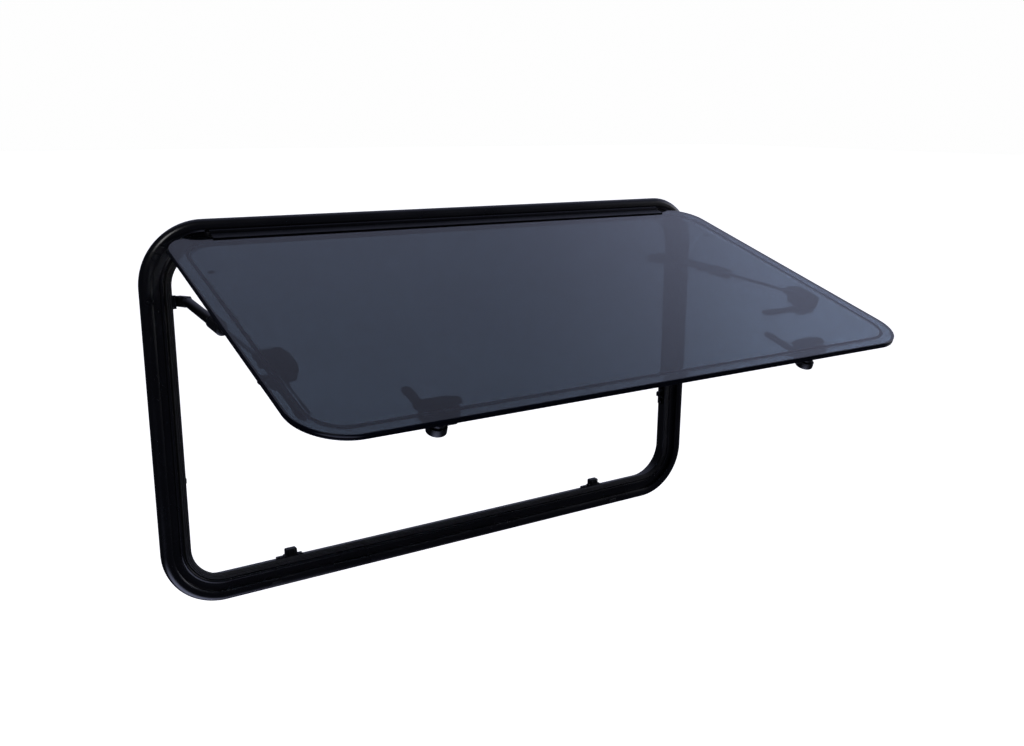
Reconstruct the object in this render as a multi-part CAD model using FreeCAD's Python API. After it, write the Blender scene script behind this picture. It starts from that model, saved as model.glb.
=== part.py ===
import FreeCAD, Part
import math
import os

# Top-hung push-out window for a caravan wall: a bent aluminium frame, a
# double acrylic sash hinged at its top edge, four lever latches and a
# telescopic stay at each side.
# Millimetres. +X is to the right seen from outside, +Y goes into the room,
# +Z is up. The origin is at the centre of the wall cut-out, on the outer
# face of the wall. The sash is built closed and then swung open.

V = FreeCAD.Vector
OUT = "parts"

# ---- frame -------------------------------------------------------------
cutout_width = 900.0
cutout_height = 500.0
cutout_corner_radius = 68.0
flange_overhang = 18.0
flange_skin = 2.2
crown_height = 11.0
crown_inset = 9.0
channel_start = 15.6
channel_end = 25.6
channel_depth = 4.0
inner_ridge_height = 7.0
wall_clearance = 2.0
spigot_width = 11.5
spigot_depth = 22.0
spigot_wall = 2.0
spigot_rear_wall = 2.5
chamber_front = 2.0
joint_gap = 0.2
joiner_length = 90.0
joiner_clearance = 0.3

# ---- seal --------------------------------------------------------------
seal_reach = 9.5
seal_foot = 2.0
seal_foot_depth = 3.0
seal_back = 2.6
seal_gap = 0.3

# ---- sash --------------------------------------------------------------
sash_side_inset = 26.5
sash_bottom_inset = 26.5
sash_top_inset = 22.6
sash_top_radius = 45.0
sash_bottom_radius = 61.0
outer_sheet = 3.5
inner_sheet = 2.5
bond_thickness = 0.6
rim_width = 21.0
rim_lap = 6.0
step_run = 3.2
panel_lap = 10.0
step_depth = 4.0
sash_face = 14.0
edge_bond_inset = 0.8
edge_bond_width = 3.0
inner_bond_inset = 0.4
inner_bond_width = 4.5
open_angle = 73.2

# ---- hinge -------------------------------------------------------------
hinge_drop = 17.0
hinge_proud = 15.0
bead_radius = 2.2
hinge_fit = 0.05
socket_wall = 1.75
rail_end_setback = 4.5
rail_foot_thickness = 1.5
rail_web = 1.4
sash_rail_leg = 13.5
sash_rail_thickness = 1.8
mouth_low = -24.0
mouth_high = 97.0
rivet_count = 7
rivet_radius = 1.2
end_cap_thickness = 3.0

# ---- latches -----------------------------------------------------------
latch_from_rail_end = 97.5
latch_below_pin = 16.9
latch_to_wall = 33.0
latch_base_top = 14.0
latch_base_length = 38.0
latch_base_width = 30.0
latch_base_corner = 7.0
latch_base_slope = 8.0
latch_base_edge = 1.2
latch_foot_thickness = 3.2
latch_foot_length = 56.0
latch_foot_width = 13.0
latch_screw_inset = 4.5
latch_screw_offset = 5.5
latch_notch_gap = 1.5
latch_layer_gap = 0.3
tongue_gap = 0.5
tongue_width = 9.0
tongue_thickness = 4.0
hub_radius = 11.5
hub_height = 9.0
hub_edge = 1.6
lever_length = 77.0
lever_width = 13.0
lever_lift = 0.4
lever_thickness = 4.6
axle_radius = 3.0
axle_fit = 0.05
axle_head_radius = 5.5
axle_head_height = 1.8
latch_turn = 90.0
screw_radius = 1.5
screw_hole_fit = 0.1
screw_head_radius = 3.0
screw_head_height = 1.6

# ---- strikers ----------------------------------------------------------
striker_length = 40.0
striker_plate = 4.0
striker_front = 5.3
striker_back = 19.5
striker_block_length = 17.0
striker_step_extra = 5.0
striker_step_height = 8.0
striker_height = 17.0
striker_side_height = 13.0
striker_side_length = 9.0
striker_side_drop = 10.3
striker_screw_inset = 5.2

# ---- stays -------------------------------------------------------------
stay_to_wall = 24.5
stay_frame_y = 28.0
stay_frame_drop = 92.5
elbow_y = -20.0
elbow_rise = 6.0
stay_pin_rise = 178.4
stay_sash_offset = 20.0
arm_thickness = 8.0
arm_width = 14.0
tube_radius = 6.5
bore_radius = 4.5
tube_seat = 0.2
stay_reserve = 84.6
collar_radius = 8.5
collar_length = 37.0
gland_length = 3.0
rod_radius = 2.6
running_fit = 0.06
piston_length = 8.0
piston_setback = 4.0
rod_fitting_radius = 5.5
rod_fitting_length = 19.0
eye_radius = 7.0
eye_thickness = 6.0
eye_gap = 0.4
lug_thickness = 3.6
lug_foot_thickness = 2.4
pin_radius = 2.5
bracket_plate = 2.5
bracket_ear = 3.0
bracket_gap = 0.4
bracket_height = 18.0
bracket_front = 3.3
bracket_screw_spread = 5.0
bracket_ear_inset = 4.0
rivet_head_radius = 5.0
rivet_head_height = 1.6

# ---- small parts -------------------------------------------------------
vent_plug_radius = 4.0
vent_plug_inset = 35.5
vent_plug_down = 95.0
weep_from_rail_end = 67.5
weep_length = 14.0
weep_width = 5.0
weep_height = 1.6
pilot_radius = 1.65
pilot_from_rail_end = 37.5
pilot_from_corner = 32.0
pilot_side_ratio = 0.4

# ---- worked out from the sizes above -----------------------------------
frame_width = cutout_width + 2 * flange_overhang
frame_height = cutout_height + 2 * flange_overhang
frame_radius = cutout_corner_radius + flange_overhang
spigot_start = flange_overhang + wall_clearance
spigot_end = spigot_start + spigot_width
rail_half_length = frame_width / 2 - frame_radius - rail_end_setback
opening_half_width = frame_width / 2 - spigot_end
opening_half_height = frame_height / 2 - spigot_end
hinge_y = -hinge_proud
hinge_z = frame_height / 2 - hinge_drop
face_y = -sash_face
outer_back_y = face_y + outer_sheet
rim_front_y = outer_back_y + bond_thickness
rim_back_y = rim_front_y + inner_sheet
panel_back_y = rim_back_y + step_depth
sash_width = frame_width - 2 * sash_side_inset
sash_top_z = frame_height / 2 - sash_top_inset
sash_bottom_z = -frame_height / 2 + sash_bottom_inset
sash_height = sash_top_z - sash_bottom_z
sash_mid_z = (sash_top_z + sash_bottom_z) / 2
sash_radii = [sash_top_radius, sash_bottom_radius, sash_bottom_radius, sash_top_radius]
tongue_y = latch_base_top + latch_layer_gap
hub_y = tongue_y + tongue_thickness
hub_top_y = hub_y + hub_height
latch_bottom_x = rail_half_length - latch_from_rail_end
latch_bottom_z = -opening_half_height + latch_to_wall
latch_side_x = opening_half_width - latch_to_wall
stay_x = opening_half_width - stay_to_wall
stay_frame_z = hinge_z - stay_frame_drop
elbow_z = stay_frame_z + elbow_rise
stay_pin_y = face_y + stay_sash_offset
stay_pin_z = -opening_half_height + stay_pin_rise
latch_side_z = stay_pin_z - latch_below_pin
tongue_length = latch_to_wall - seal_reach - tongue_gap
tube_start = arm_width / 2 + tube_seat
tube_end = elbow_z - stay_pin_z - stay_reserve
collar_start = tube_end - collar_length
ear_start_x = stay_x - eye_thickness / 2 - eye_gap - lug_thickness
vent_plug_x = sash_width / 2 - vent_plug_inset
weep_x = rail_half_length - weep_from_rail_end
pilot_spacing = (rail_half_length - pilot_from_rail_end) / 2.5
pilot_side_far = frame_height / 2 - frame_radius - pilot_from_corner
pilot_side_near = pilot_side_ratio * pilot_side_far
latch_screw_reach = latch_foot_length / 2 - latch_screw_inset


def save(name, shape):
    shape.exportStep(os.path.join(OUT, name + ".step"))
    print(name, len(shape.Solids), round(shape.Volume))


def joined(shapes):
    """One clean solid from shapes that touch or overlap."""
    first = shapes[0]
    return first.multiFuse(shapes[1:]).removeSplitter()


def box(x0, x1, y0, y1, z0, z1):
    return Part.makeBox(x1 - x0, y1 - y0, z1 - z0, V(x0, y0, z0))


def rod_between(start, end, radius):
    axis = end - start
    return Part.makeCylinder(radius, axis.Length, start, axis)


def mirrored(shape):
    """The same part on the other side of the window."""
    return shape.mirror(V(0, 0, 0), V(1, 0, 0))


def opened(shape):
    """Swing a piece of the closed sash to the open rest position."""
    turned = shape.copy()
    turned.rotate(V(0, hinge_y, hinge_z), V(1, 0, 0), -open_angle)
    return turned


def section(path, edge_z):
    """Face in the plane x = 0 from points (inset, depth); a pair of points
    in one entry is an arc through the first to the second."""
    def at(point):
        return V(0, point[1], edge_z - point[0])
    edges = []
    here = at(path[0])
    for entry in path[1:]:
        if isinstance(entry[0], tuple):
            edges.append(Part.Arc(here, at(entry[0]), at(entry[1])).toShape())
            here = at(entry[1])
        else:
            edges.append(Part.LineSegment(here, at(entry)).toShape())
            here = at(entry)
    return Part.Face(Part.Wire(edges))


def ring(path, width, height, radii, centre_z=0.0):
    """Sweep a section round a rounded rectangle. radii go clockwise from
    the top right corner."""
    pieces = []
    for side in range(4):
        reach, across = (height / 2, width / 2) if side % 2 == 0 else (width / 2, height / 2)
        radius = radii[side]
        start = -across + radii[side - 1]
        end = across - radius
        face = section(path, reach)
        face.translate(V(start, 0, 0))
        straight = face.extrude(V(end - start, 0, 0))
        face.translate(V(end - start, 0, 0))
        corner = face.revolve(V(end, 0, reach - radius), V(0, 1, 0), 90)
        for piece in (straight, corner):
            piece.rotate(V(0, 0, 0), V(0, 1, 0), 90 * side)
            pieces.append(piece)
    whole = joined(pieces)
    whole.translate(V(0, 0, centre_z))
    return whole


def rounded_sheet(width, height, radii, y0, y1, centre_z):
    """Flat plate across Y; radii go clockwise from the top right corner."""
    plate = box(-width / 2, width / 2, y0, y1, -height / 2, height / 2)
    signs = [(1, 1), (1, -1), (-1, -1), (-1, 1)]
    for (sx, sz), radius in zip(signs, radii):
        corner = V(sx * width / 2, y0, sz * height / 2)
        inner = V(corner.x - sx * radius, y0, corner.z - sz * radius)
        square = box(min(corner.x, inner.x), max(corner.x, inner.x), y0, y1,
                     min(corner.z, inner.z), max(corner.z, inner.z))
        disc = Part.makeCylinder(radius, y1 - y0, inner, V(0, 1, 0))
        plate = plate.cut(square.cut(disc))
    plate.translate(V(0, 0, centre_z))
    return plate


# ---- frame pieces ------------------------------------------------------
def pilot_points():
    """Centres of the clamp screw holes, as (x, z)."""
    line = spigot_start + spigot_width / 2
    row_z = frame_height / 2 - line
    column_x = frame_width / 2 - line
    points = []
    for step in (0.5, 1.5, 2.5):
        for sx in (-1, 1):
            for sz in (-1, 1):
                points.append((sx * step * pilot_spacing, sz * row_z))
    for z in (pilot_side_near, pilot_side_far):
        for sx in (-1, 1):
            for sz in (-1, 1):
                points.append((sx * column_x, sz * z))
    return points


def rivet_points():
    pitch = 2 * (rail_half_length - 22) / (rivet_count - 1)
    z = frame_height / 2 - channel_end + 4.2
    return [(-rail_half_length + 22 + pitch * n, z) for n in range(rivet_count)]


def weep_points():
    z = -frame_height / 2 + crown_inset
    return [(-weep_x, z), (weep_x, z)]


def make_outer_frame():
    crown_y = -crown_height
    ridge_mid = (channel_end + spigot_end) / 2
    outline = [
        (0.8, 0.0), (0.0, -0.8), (0.0, -3.6),
        ((2.3, -8.6), (crown_inset, crown_y)),
        ((13.2, crown_y + 0.5), (channel_start, crown_y + 1.9)),
        (channel_start + 0.4, -channel_depth), (channel_end, -channel_depth),
        ((ridge_mid, -inner_ridge_height), (spigot_end - 0.1, -channel_depth)),
        (spigot_end, -channel_depth + 0.6),
        (spigot_end, spigot_depth), (spigot_start, spigot_depth),
        (spigot_start, 0.0),
        (channel_start - 0.6, 0.0), (channel_start - 0.6, -channel_depth + 1.8),
        ((crown_inset, crown_y + flange_skin), (3.4, -4.4)),
        (2.6, 0.0), (0.8, 0.0)]
    radii = [frame_radius] * 4
    frame = ring(outline, frame_width, frame_height, radii)
    chamber = [
        (spigot_start + spigot_wall, -chamber_front),
        (spigot_end - spigot_wall, -chamber_front),
        (spigot_end - spigot_wall, spigot_depth - spigot_rear_wall),
        (spigot_start + spigot_wall, spigot_depth - spigot_rear_wall),
        (spigot_start + spigot_wall, -chamber_front)]
    frame = frame.cut(ring(chamber, frame_width, frame_height, radii))
    tools = [box(-joint_gap / 2, joint_gap / 2, -30, 60, opening_half_height - 5, frame_height / 2 + 5)]
    tools += make_weep_covers().Solids
    for x, z in pilot_points():
        tools.append(Part.makeCylinder(pilot_radius, 6, V(x, spigot_depth - 4, z), V(0, 1, 0)))
    for x, z in rivet_points():
        tools.append(Part.makeCylinder(rivet_radius, 6, V(x, -6, z), V(0, 1, 0)))
    return frame.cut(Part.makeCompound(tools))


def make_frame_joiner():
    half = joiner_length / 2
    outer_z = frame_height / 2 - spigot_start - spigot_wall - joiner_clearance
    inner_z = frame_height / 2 - spigot_end + spigot_wall + joiner_clearance
    bar = box(-half, half, 3.0, 15.0, inner_z, outer_z)
    groove = box(-half, half, 6.0, 12.0, inner_z - 1, inner_z + 3.0)
    return bar.cut(groove)


def make_frame_seal():
    wall = spigot_end
    lip = spigot_end + seal_reach
    top = -(sash_face - outer_sheet - bond_thickness - inner_sheet - seal_gap)
    valley = top + 1.2
    outline = [
        (wall, -channel_depth + 0.6), (wall, seal_foot_depth),
        (wall + seal_foot, seal_foot_depth), (wall + seal_foot, -seal_back),
        (lip - 2.0, -seal_back),
        ((lip, -seal_back - 1.7), (lip - 1.2, valley)),
        ((lip - 2.4, top), (lip - 3.6, valley)),
        ((lip - 4.8, top), (lip - 6.0, valley)),
        ((lip - 7.2, top), (lip - 8.4, valley)),
        (wall, -channel_depth + 0.6)]
    return ring(outline, frame_width, frame_height, [frame_radius] * 4)


def make_hinge_rail_frame():
    z_low = frame_height / 2 - channel_end + 0.8
    z_high = hinge_z + rail_web / 2
    length = rail_half_length
    foot = box(-length, length, -channel_depth - rail_foot_thickness, -channel_depth, z_low, z_high)
    web = box(-length, length, hinge_y + 1.0, -channel_depth, z_high - rail_web, z_high)
    bead = rod_between(V(-length, hinge_y, hinge_z), V(length, hinge_y, hinge_z), bead_radius)
    rail = joined([foot, web, bead])
    holes = [Part.makeCylinder(rivet_radius, 6, V(x, -8, z), V(0, 1, 0)) for x, z in rivet_points()]
    return rail.cut(Part.makeCompound(holes))


def make_hinge_rail_rivets():
    head_y = -channel_depth - rail_foot_thickness
    rivets = []
    for x, z in rivet_points():
        head = Part.makeCylinder(rivet_radius * 1.9, 1.1, V(x, head_y - 1.1, z), V(0, 1, 0))
        head = head.makeFillet(0.5, [head.Edges[2]] if len(head.Edges) > 2 else head.Edges)
        shank = Part.makeCylinder(rivet_radius, -head_y - 1.0, V(x, head_y, z), V(0, 1, 0))
        rivets.append(joined([head, shank]))
    return Part.makeCompound(rivets)


def make_hinge_end_caps():
    """Plastic stops that keep the sash rail from sliding along the bead."""
    caps = []
    for side in (-1, 1):
        near = side * (rail_half_length + 0.3)
        far = side * (rail_half_length + 0.3 + end_cap_thickness)
        low, high = min(near, far), max(near, far)
        block = box(low, high, hinge_y - 2.6, -channel_depth, sash_top_z + 0.5, hinge_z + 0.9)
        edges = [e for e in block.Edges if abs(e.Vertexes[0].X - e.Vertexes[1].X) > 1
                 and e.Vertexes[0].Y < hinge_y]
        caps.append(block.makeFillet(1.5, edges))
    return Part.makeCompound(caps)


def make_weep_covers():
    covers = []
    for x, z in weep_points():
        y = -crown_height
        body = box(x - weep_length / 2, x + weep_length / 2, y - weep_height, y + 1.4,
                   z - weep_width / 2, z + weep_width / 2)
        edges = [e for e in body.Edges if e.Vertexes[0].Y < y - 0.5 and e.Vertexes[1].Y < y - 0.5]
        covers.append(body.makeFillet(1.0, edges))
    return Part.makeCompound(covers)


# ---- strikers ----------------------------------------------------------
def striker_on_floor(block_length, step_length, height):
    """Striker standing on the plane z = 0, long side along X."""
    half = striker_length / 2
    plate = box(-half, half, striker_front, striker_back, 0, striker_plate)
    corners = [e for e in plate.Edges if abs(e.Vertexes[0].Z - e.Vertexes[1].Z) > 1]
    plate = plate.makeFillet(4.0, corners)
    step = box(-step_length / 2, step_length / 2, striker_front, latch_base_top, 0, striker_step_height)
    block = box(-block_length / 2, block_length / 2, striker_front, latch_base_top, 0, height)
    tops = [e for e in block.Edges if e.Vertexes[0].Z > 1 and e.Vertexes[1].Z > 1
            and abs(e.Vertexes[0].Y - e.Vertexes[1].Y) > 1]
    block = block.makeFillet(2.0, tops)
    body = joined([plate, step, block])
    holes = []
    for sx in (-1, 1):
        foot = V(sx * striker_screw_x(), striker_mid_y(), -3)
        holes.append(Part.makeCylinder(screw_radius + screw_hole_fit, 10, foot))
    return body.cut(Part.makeCompound(holes))


def striker_screw_x():
    return striker_length / 2 - striker_screw_inset


def striker_mid_y():
    return (striker_front + striker_back) / 2


def striker_screws_on_floor():
    screws = []
    for sx in (-1, 1):
        at = V(sx * striker_screw_x(), striker_mid_y(), 0)
        head = Part.makeCylinder(screw_head_radius, screw_head_height, at + V(0, 0, striker_plate))
        top = [e for e in head.Edges if e.BoundBox.ZMin > striker_plate + 1]
        head = head.makeFillet(0.8, top)
        slot = box(at.x - 2.2, at.x + 2.2, at.y - 0.4, at.y + 0.4, striker_plate + 0.8, striker_plate + 4)
        shank = Part.makeCylinder(screw_radius, striker_plate, at)
        screws.append(joined([head, shank]).cut(slot))
    return screws


def stand_at(shape, x, z, turn):
    """Move a piece that stands on z = 0 to the frame's inner wall."""
    placed = shape.copy()
    placed.rotate(V(0, 0, 0), V(0, 1, 0), turn)
    placed.translate(V(x, 0, z))
    return placed


def striker_places():
    """Name, foot x and z, turn, block length and height."""
    side_z = latch_side_z - striker_side_drop
    bottom = (striker_block_length, striker_height)
    side = (striker_side_length, striker_side_height)
    return [
        ("striker_bottom_left", -latch_bottom_x, -opening_half_height, 0, *bottom),
        ("striker_bottom_right", latch_bottom_x, -opening_half_height, 0, *bottom),
        ("striker_side_left", -opening_half_width, side_z, 90, *side),
        ("striker_side_right", opening_half_width, side_z, -90, *side)]


# ---- sash pieces, closed -----------------------------------------------
def sash_ring(path):
    return ring(path, sash_width, sash_height, sash_radii, sash_mid_z)


def make_outer_pane():
    sheet = rounded_sheet(sash_width, sash_height, sash_radii, face_y, outer_back_y, sash_mid_z)
    rim = [e for e in sheet.Edges if e.BoundBox.YMax < face_y + 0.01]
    return sheet.makeChamfer(0.6, rim)


def panel_screw_points():
    """Latch base screws, as (x, z)."""
    points = []
    for sx in (-1, 1):
        for end in (-1, 1):
            along = end * latch_screw_reach
            points.append((sx * latch_bottom_x + along, latch_bottom_z + latch_screw_offset))
            points.append((sx * (latch_side_x - latch_screw_offset), latch_side_z + along))
    return points


def vent_plug_points():
    return [(sx * vent_plug_x, sash_top_z - vent_plug_down) for sx in (-1, 1)]


def step_radii(inset):
    """Corner radii of the formed step, level with the frame's corners."""
    top = frame_radius - sash_top_inset - inset
    bottom = frame_radius - sash_bottom_inset - inset
    return [top, bottom, bottom, top]


def step_ring(path):
    """Sweep a section whose insets start rim_lap outside the formed step."""
    inset = rim_width - rim_lap
    return ring(path, sash_width - 2 * inset, sash_height - 2 * inset, step_radii(inset), sash_mid_z)


def inner_sheet_plate(inset, radii, y0, y1):
    return rounded_sheet(sash_width - 2 * inset, sash_height - 2 * inset, radii, y0, y1, sash_mid_z)


def make_inner_pane():
    """Thermoformed inner sheet: bonded rim, sloping wall and raised panel."""
    panel_front = panel_back_y - inner_sheet
    wall_end = rim_lap + step_run
    outline = [
        (0.0, rim_front_y), (rim_lap, rim_front_y), (wall_end, panel_front),
        (wall_end + panel_lap, panel_front), (wall_end + panel_lap, panel_back_y),
        (wall_end - 1.2, panel_back_y), (rim_lap - 1.2, rim_back_y),
        (0.0, rim_back_y), (0.0, rim_front_y)]
    step = step_ring(outline)
    lap_inset = rim_width - rim_lap
    rim = inner_sheet_plate(0, sash_radii, rim_front_y, rim_back_y)
    rim = rim.cut(inner_sheet_plate(lap_inset, step_radii(lap_inset), rim_front_y - 1, rim_back_y + 1))
    inset = rim_width + step_run + panel_lap
    panel = inner_sheet_plate(inset, step_radii(inset), panel_front, panel_back_y)
    pane = joined([step, rim, panel])
    holes = []
    for x, z in panel_screw_points():
        holes.append(Part.makeCylinder(screw_radius + screw_hole_fit, 20, V(x, -12, z), V(0, 1, 0)))
    for x, z in vent_plug_points():
        holes.append(Part.makeCylinder(vent_plug_radius * 0.6, 20, V(x, -12, z), V(0, 1, 0)))
    return pane.cut(Part.makeCompound(holes))


def bond_outline(inset, width):
    return [(inset, outer_back_y), (inset + width, outer_back_y),
            (inset + width, rim_front_y), (inset, rim_front_y), (inset, outer_back_y)]


def make_edge_bond():
    return sash_ring(bond_outline(edge_bond_inset, edge_bond_width))


def make_inner_bond():
    return step_ring(bond_outline(rim_lap - inner_bond_width - inner_bond_inset, inner_bond_width))


def make_vent_plugs():
    plugs = []
    for x, z in vent_plug_points():
        front = V(x, panel_back_y - inner_sheet, z)
        stem = Part.makeCylinder(vent_plug_radius * 0.6, inner_sheet, front, V(0, 1, 0))
        head = Part.makeCylinder(vent_plug_radius, 1.4, V(x, panel_back_y, z), V(0, 1, 0))
        plugs.append(joined([stem, head]))
    return Part.makeCompound(plugs)


def make_hinge_rail_sash():
    """Extrusion that grips the top edge of the sash and wraps the bead."""
    length = rail_half_length
    bore = bead_radius + hinge_fit
    outer = bore + socket_wall
    start = V(-length, hinge_y, hinge_z)
    end = V(length, hinge_y, hinge_z)
    leg_low = sash_top_z - sash_rail_leg
    leg = box(-length, length, face_y - sash_rail_thickness, face_y, leg_low, hinge_z - bore - 0.6)
    cap = box(-length, length, face_y - sash_rail_thickness, rim_back_y, sash_top_z, sash_top_z + 1.6)
    body = joined([rod_between(start, end, outer), leg, cap])
    points = [V(-length - 1, hinge_y, hinge_z)]
    for angle in (mouth_low, (mouth_low + mouth_high) / 2, mouth_high):
        turn = math.radians(angle)
        reach = V(0, math.cos(turn), math.sin(turn)) * (3 * outer)
        points.append(points[0] + reach)
    mouth = Part.Face(Part.makePolygon(points + [points[0]])).extrude(V(2 * length + 2, 0, 0))
    mouth = mouth.cut(box(-length, length, hinge_y - 9, hinge_y, leg_low, sash_top_z))
    body = body.cut(rod_between(start - V(1, 0, 0), end + V(1, 0, 0), bore))
    return joined([body.cut(mouth)])


# ---- latches: local frame, hub on the Y axis, frame wall towards -Z ------
def rounded_bar(length, width, y0, y1, direction):
    """Bar from the hub axis along direction, with a round end."""
    bar = box(0, length - width / 2, y0, y1, -width / 2, width / 2)
    tip = Part.makeCylinder(width / 2, y1 - y0, V(length - width / 2, y0, 0), V(0, 1, 0))
    whole = joined([bar, tip])
    whole.rotate(V(0, 0, 0), V(0, 1, 0), direction)
    return whole


def make_latch_base():
    """Foot plate under a block; the hub sits on the block's centre."""
    half_foot = latch_foot_length / 2
    foot_top = panel_back_y + latch_foot_thickness
    near = latch_screw_offset - latch_foot_width / 2
    foot = box(-half_foot, half_foot, panel_back_y, foot_top, near, near + latch_foot_width)
    corners = [e for e in foot.Edges if abs(e.Vertexes[0].Y - e.Vertexes[1].Y) > 1]
    foot = foot.makeFillet(latch_foot_width / 2 - 0.5, corners)
    half = latch_base_length / 2
    low = -latch_base_width / 2
    block = box(-half, half, panel_back_y, latch_base_top, low, latch_base_width / 2)
    uprights = [e for e in block.Edges if abs(e.Vertexes[0].Y - e.Vertexes[1].Y) > 1]
    block = block.makeFillet(latch_base_corner, uprights)
    rim = [e for e in block.Edges if e.BoundBox.YMin > latch_base_top - 0.01]
    block = block.makeFillet(latch_base_edge, rim)
    corner = V(-half - 1, latch_base_top, low)
    slope = [corner + V(0, -latch_base_slope, 0), corner + V(0, 1, latch_base_slope + 1)]
    slope += [corner + V(0, 1, -1), corner + V(0, -latch_base_slope, -1)]
    wedge = Part.Face(Part.makePolygon(slope + [slope[0]])).extrude(V(2 * half + 2, 0, 0))
    block = block.cut(wedge)
    return joined([foot, block])


def latch_base_bores():
    tools = [Part.makeCylinder(axle_radius, 40, V(0, panel_back_y + 2, 0), V(0, 1, 0))]
    for end in (-1, 1):
        foot = V(end * latch_screw_reach, -8, latch_screw_offset)
        tools.append(Part.makeCylinder(screw_radius + screw_hole_fit, 40, foot, V(0, 1, 0)))
    return Part.makeCompound(tools)


def make_tongue(direction):
    """Cam plate under the hub; its arm reaches the striker."""
    bore = axle_radius + axle_fit
    disc = Part.makeCylinder(9.0, tongue_thickness, V(0, tongue_y, 0), V(0, 1, 0))
    arm = rounded_bar(tongue_length, tongue_width, tongue_y, hub_y, direction)
    whole = joined([disc, arm])
    return whole.cut(Part.makeCylinder(bore, 60, V(0, -20, 0), V(0, 1, 0)))


def make_handle():
    """Round hub and lever, pointing away from the frame wall."""
    bore = axle_radius + axle_fit
    hub = Part.makeCylinder(hub_radius, hub_height, V(0, hub_y, 0), V(0, 1, 0))
    top = [e for e in hub.Edges if e.BoundBox.YMin > hub_top_y - 0.01]
    hub = hub.makeFillet(hub_edge, top)
    low = hub_y + lever_lift
    high = low + lever_thickness
    lever = rounded_bar(lever_length, lever_width, low, high, -90)
    rim = [e for e in lever.Edges if e.BoundBox.YMin > high - 0.01]
    lever = lever.makeFillet(1.5, rim)
    whole = joined([hub, lever])
    return whole.cut(Part.makeCylinder(bore, 60, V(0, -20, 0), V(0, 1, 0)))


def make_axle():
    start = panel_back_y + 2
    end = hub_top_y + latch_layer_gap
    shank = Part.makeCylinder(axle_radius, end - start, V(0, start, 0), V(0, 1, 0))
    head = Part.makeCylinder(axle_head_radius, axle_head_height, V(0, end, 0), V(0, 1, 0))
    rim = [e for e in head.Edges if e.BoundBox.YMin > hub_top_y + 1]
    head = head.makeFillet(0.8, rim)
    slot = box(-3.6, 3.6, hub_top_y + 1.2, hub_top_y + 9, -0.6, 0.6)
    return joined([shank, head]).cut(slot)


def make_base_screws():
    screws = []
    foot_top = panel_back_y + latch_foot_thickness
    point = panel_back_y - inner_sheet - 1.0
    for end in (-1, 1):
        x = end * latch_screw_reach
        z = latch_screw_offset
        head = Part.makeCylinder(screw_head_radius, screw_head_height, V(x, foot_top, z), V(0, 1, 0))
        rim = [e for e in head.Edges if e.BoundBox.YMin > foot_top + 1]
        head = head.makeFillet(0.8, rim)
        slot = box(x - 2.2, x + 2.2, foot_top + 0.8, foot_top + 4, z - 0.4, z + 0.4)
        shank = Part.makeCylinder(screw_radius, foot_top - point, V(x, point, z), V(0, 1, 0))
        screws.append(joined([head, shank]).cut(slot))
    return screws


def latch_places():
    """Name, hub x, hub z, turn that faces the local -Z to the frame wall,
    and the handle's turn at rest."""
    return [
        ("bottom_left", -latch_bottom_x, latch_bottom_z, 0, 0),
        ("bottom_right", latch_bottom_x, latch_bottom_z, 0, 0),
        ("side_left", -latch_side_x, latch_side_z, 90, latch_turn),
        ("side_right", latch_side_x, latch_side_z, -90, 0)]


def place_latch(shape, x, z, turn):
    return opened(stand_at(shape, x, z, turn))


def stay_notch():
    """Room beside the right side latch's block for the end of the stay."""
    low = stay_pin_z - eye_radius - latch_notch_gap
    return box(ear_start_x, ear_start_x + 60, -40, 60, low, low + 120)


def make_stay_lugs():
    """Foot and two ears on the right latch base; they carry the stay's pin."""
    half_eye = eye_thickness / 2 + eye_gap
    far = stay_x + half_eye + lug_thickness
    foot_top = panel_back_y + lug_foot_thickness
    foot = box(ear_start_x, far, panel_back_y, foot_top, stay_pin_z - 12, stay_pin_z + 9)
    pieces = [foot]
    ear_low, ear_high = stay_pin_z - eye_radius, stay_pin_z + eye_radius
    for low in (ear_start_x, stay_x + half_eye):
        ear = box(low, low + lug_thickness, panel_back_y, stay_pin_y, ear_low, ear_high)
        cap = Part.makeCylinder(eye_radius, lug_thickness, V(low, stay_pin_y, stay_pin_z), V(1, 0, 0))
        pieces += [ear, cap]
    lugs = joined(pieces)
    bore = Part.makeCylinder(pin_radius, 60, V(ear_start_x, stay_pin_y, stay_pin_z), V(1, 0, 0))
    return lugs.cut(bore)


def make_lug_pin():
    length = 2 * (stay_x - ear_start_x)
    start = V(ear_start_x, stay_pin_y, stay_pin_z)
    pin = Part.makeCylinder(pin_radius, length, start, V(1, 0, 0))
    head = Part.makeCylinder(pin_radius + 1.2, 1.0, start + V(length, 0, 0), V(1, 0, 0))
    return joined([pin, head])


# ---- stays, built in the open rest position ------------------------------
def stay_line():
    """Elbow, pin on the sash and unit direction between them."""
    pin = V(stay_x, stay_pin_y, stay_pin_z) - V(0, hinge_y, hinge_z)
    turn = math.radians(-open_angle)
    y = pin.y * math.cos(turn) - pin.z * math.sin(turn) + hinge_y
    z = pin.y * math.sin(turn) + pin.z * math.cos(turn) + hinge_z
    sash_pin = V(stay_x, y, z)
    elbow = V(stay_x, elbow_y, elbow_z)
    along = (sash_pin - elbow).normalize()
    return elbow, sash_pin, along


def flat_bar(start, end, width, thickness):
    """Round-ended flat bar between two points in the plane x = stay_x."""
    run = end - start
    side = V(1, 0, 0).cross(run).normalize() * (width / 2)
    corners = [start + side, end + side, end - side, start - side, start + side]
    bar = Part.Face(Part.makePolygon(corners)).extrude(V(thickness, 0, 0))
    ends = [Part.makeCylinder(width / 2, thickness, point, V(1, 0, 0)) for point in (start, end)]
    whole = joined([bar] + ends)
    whole.translate(V(-thickness / 2, 0, 0))
    return whole


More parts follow.
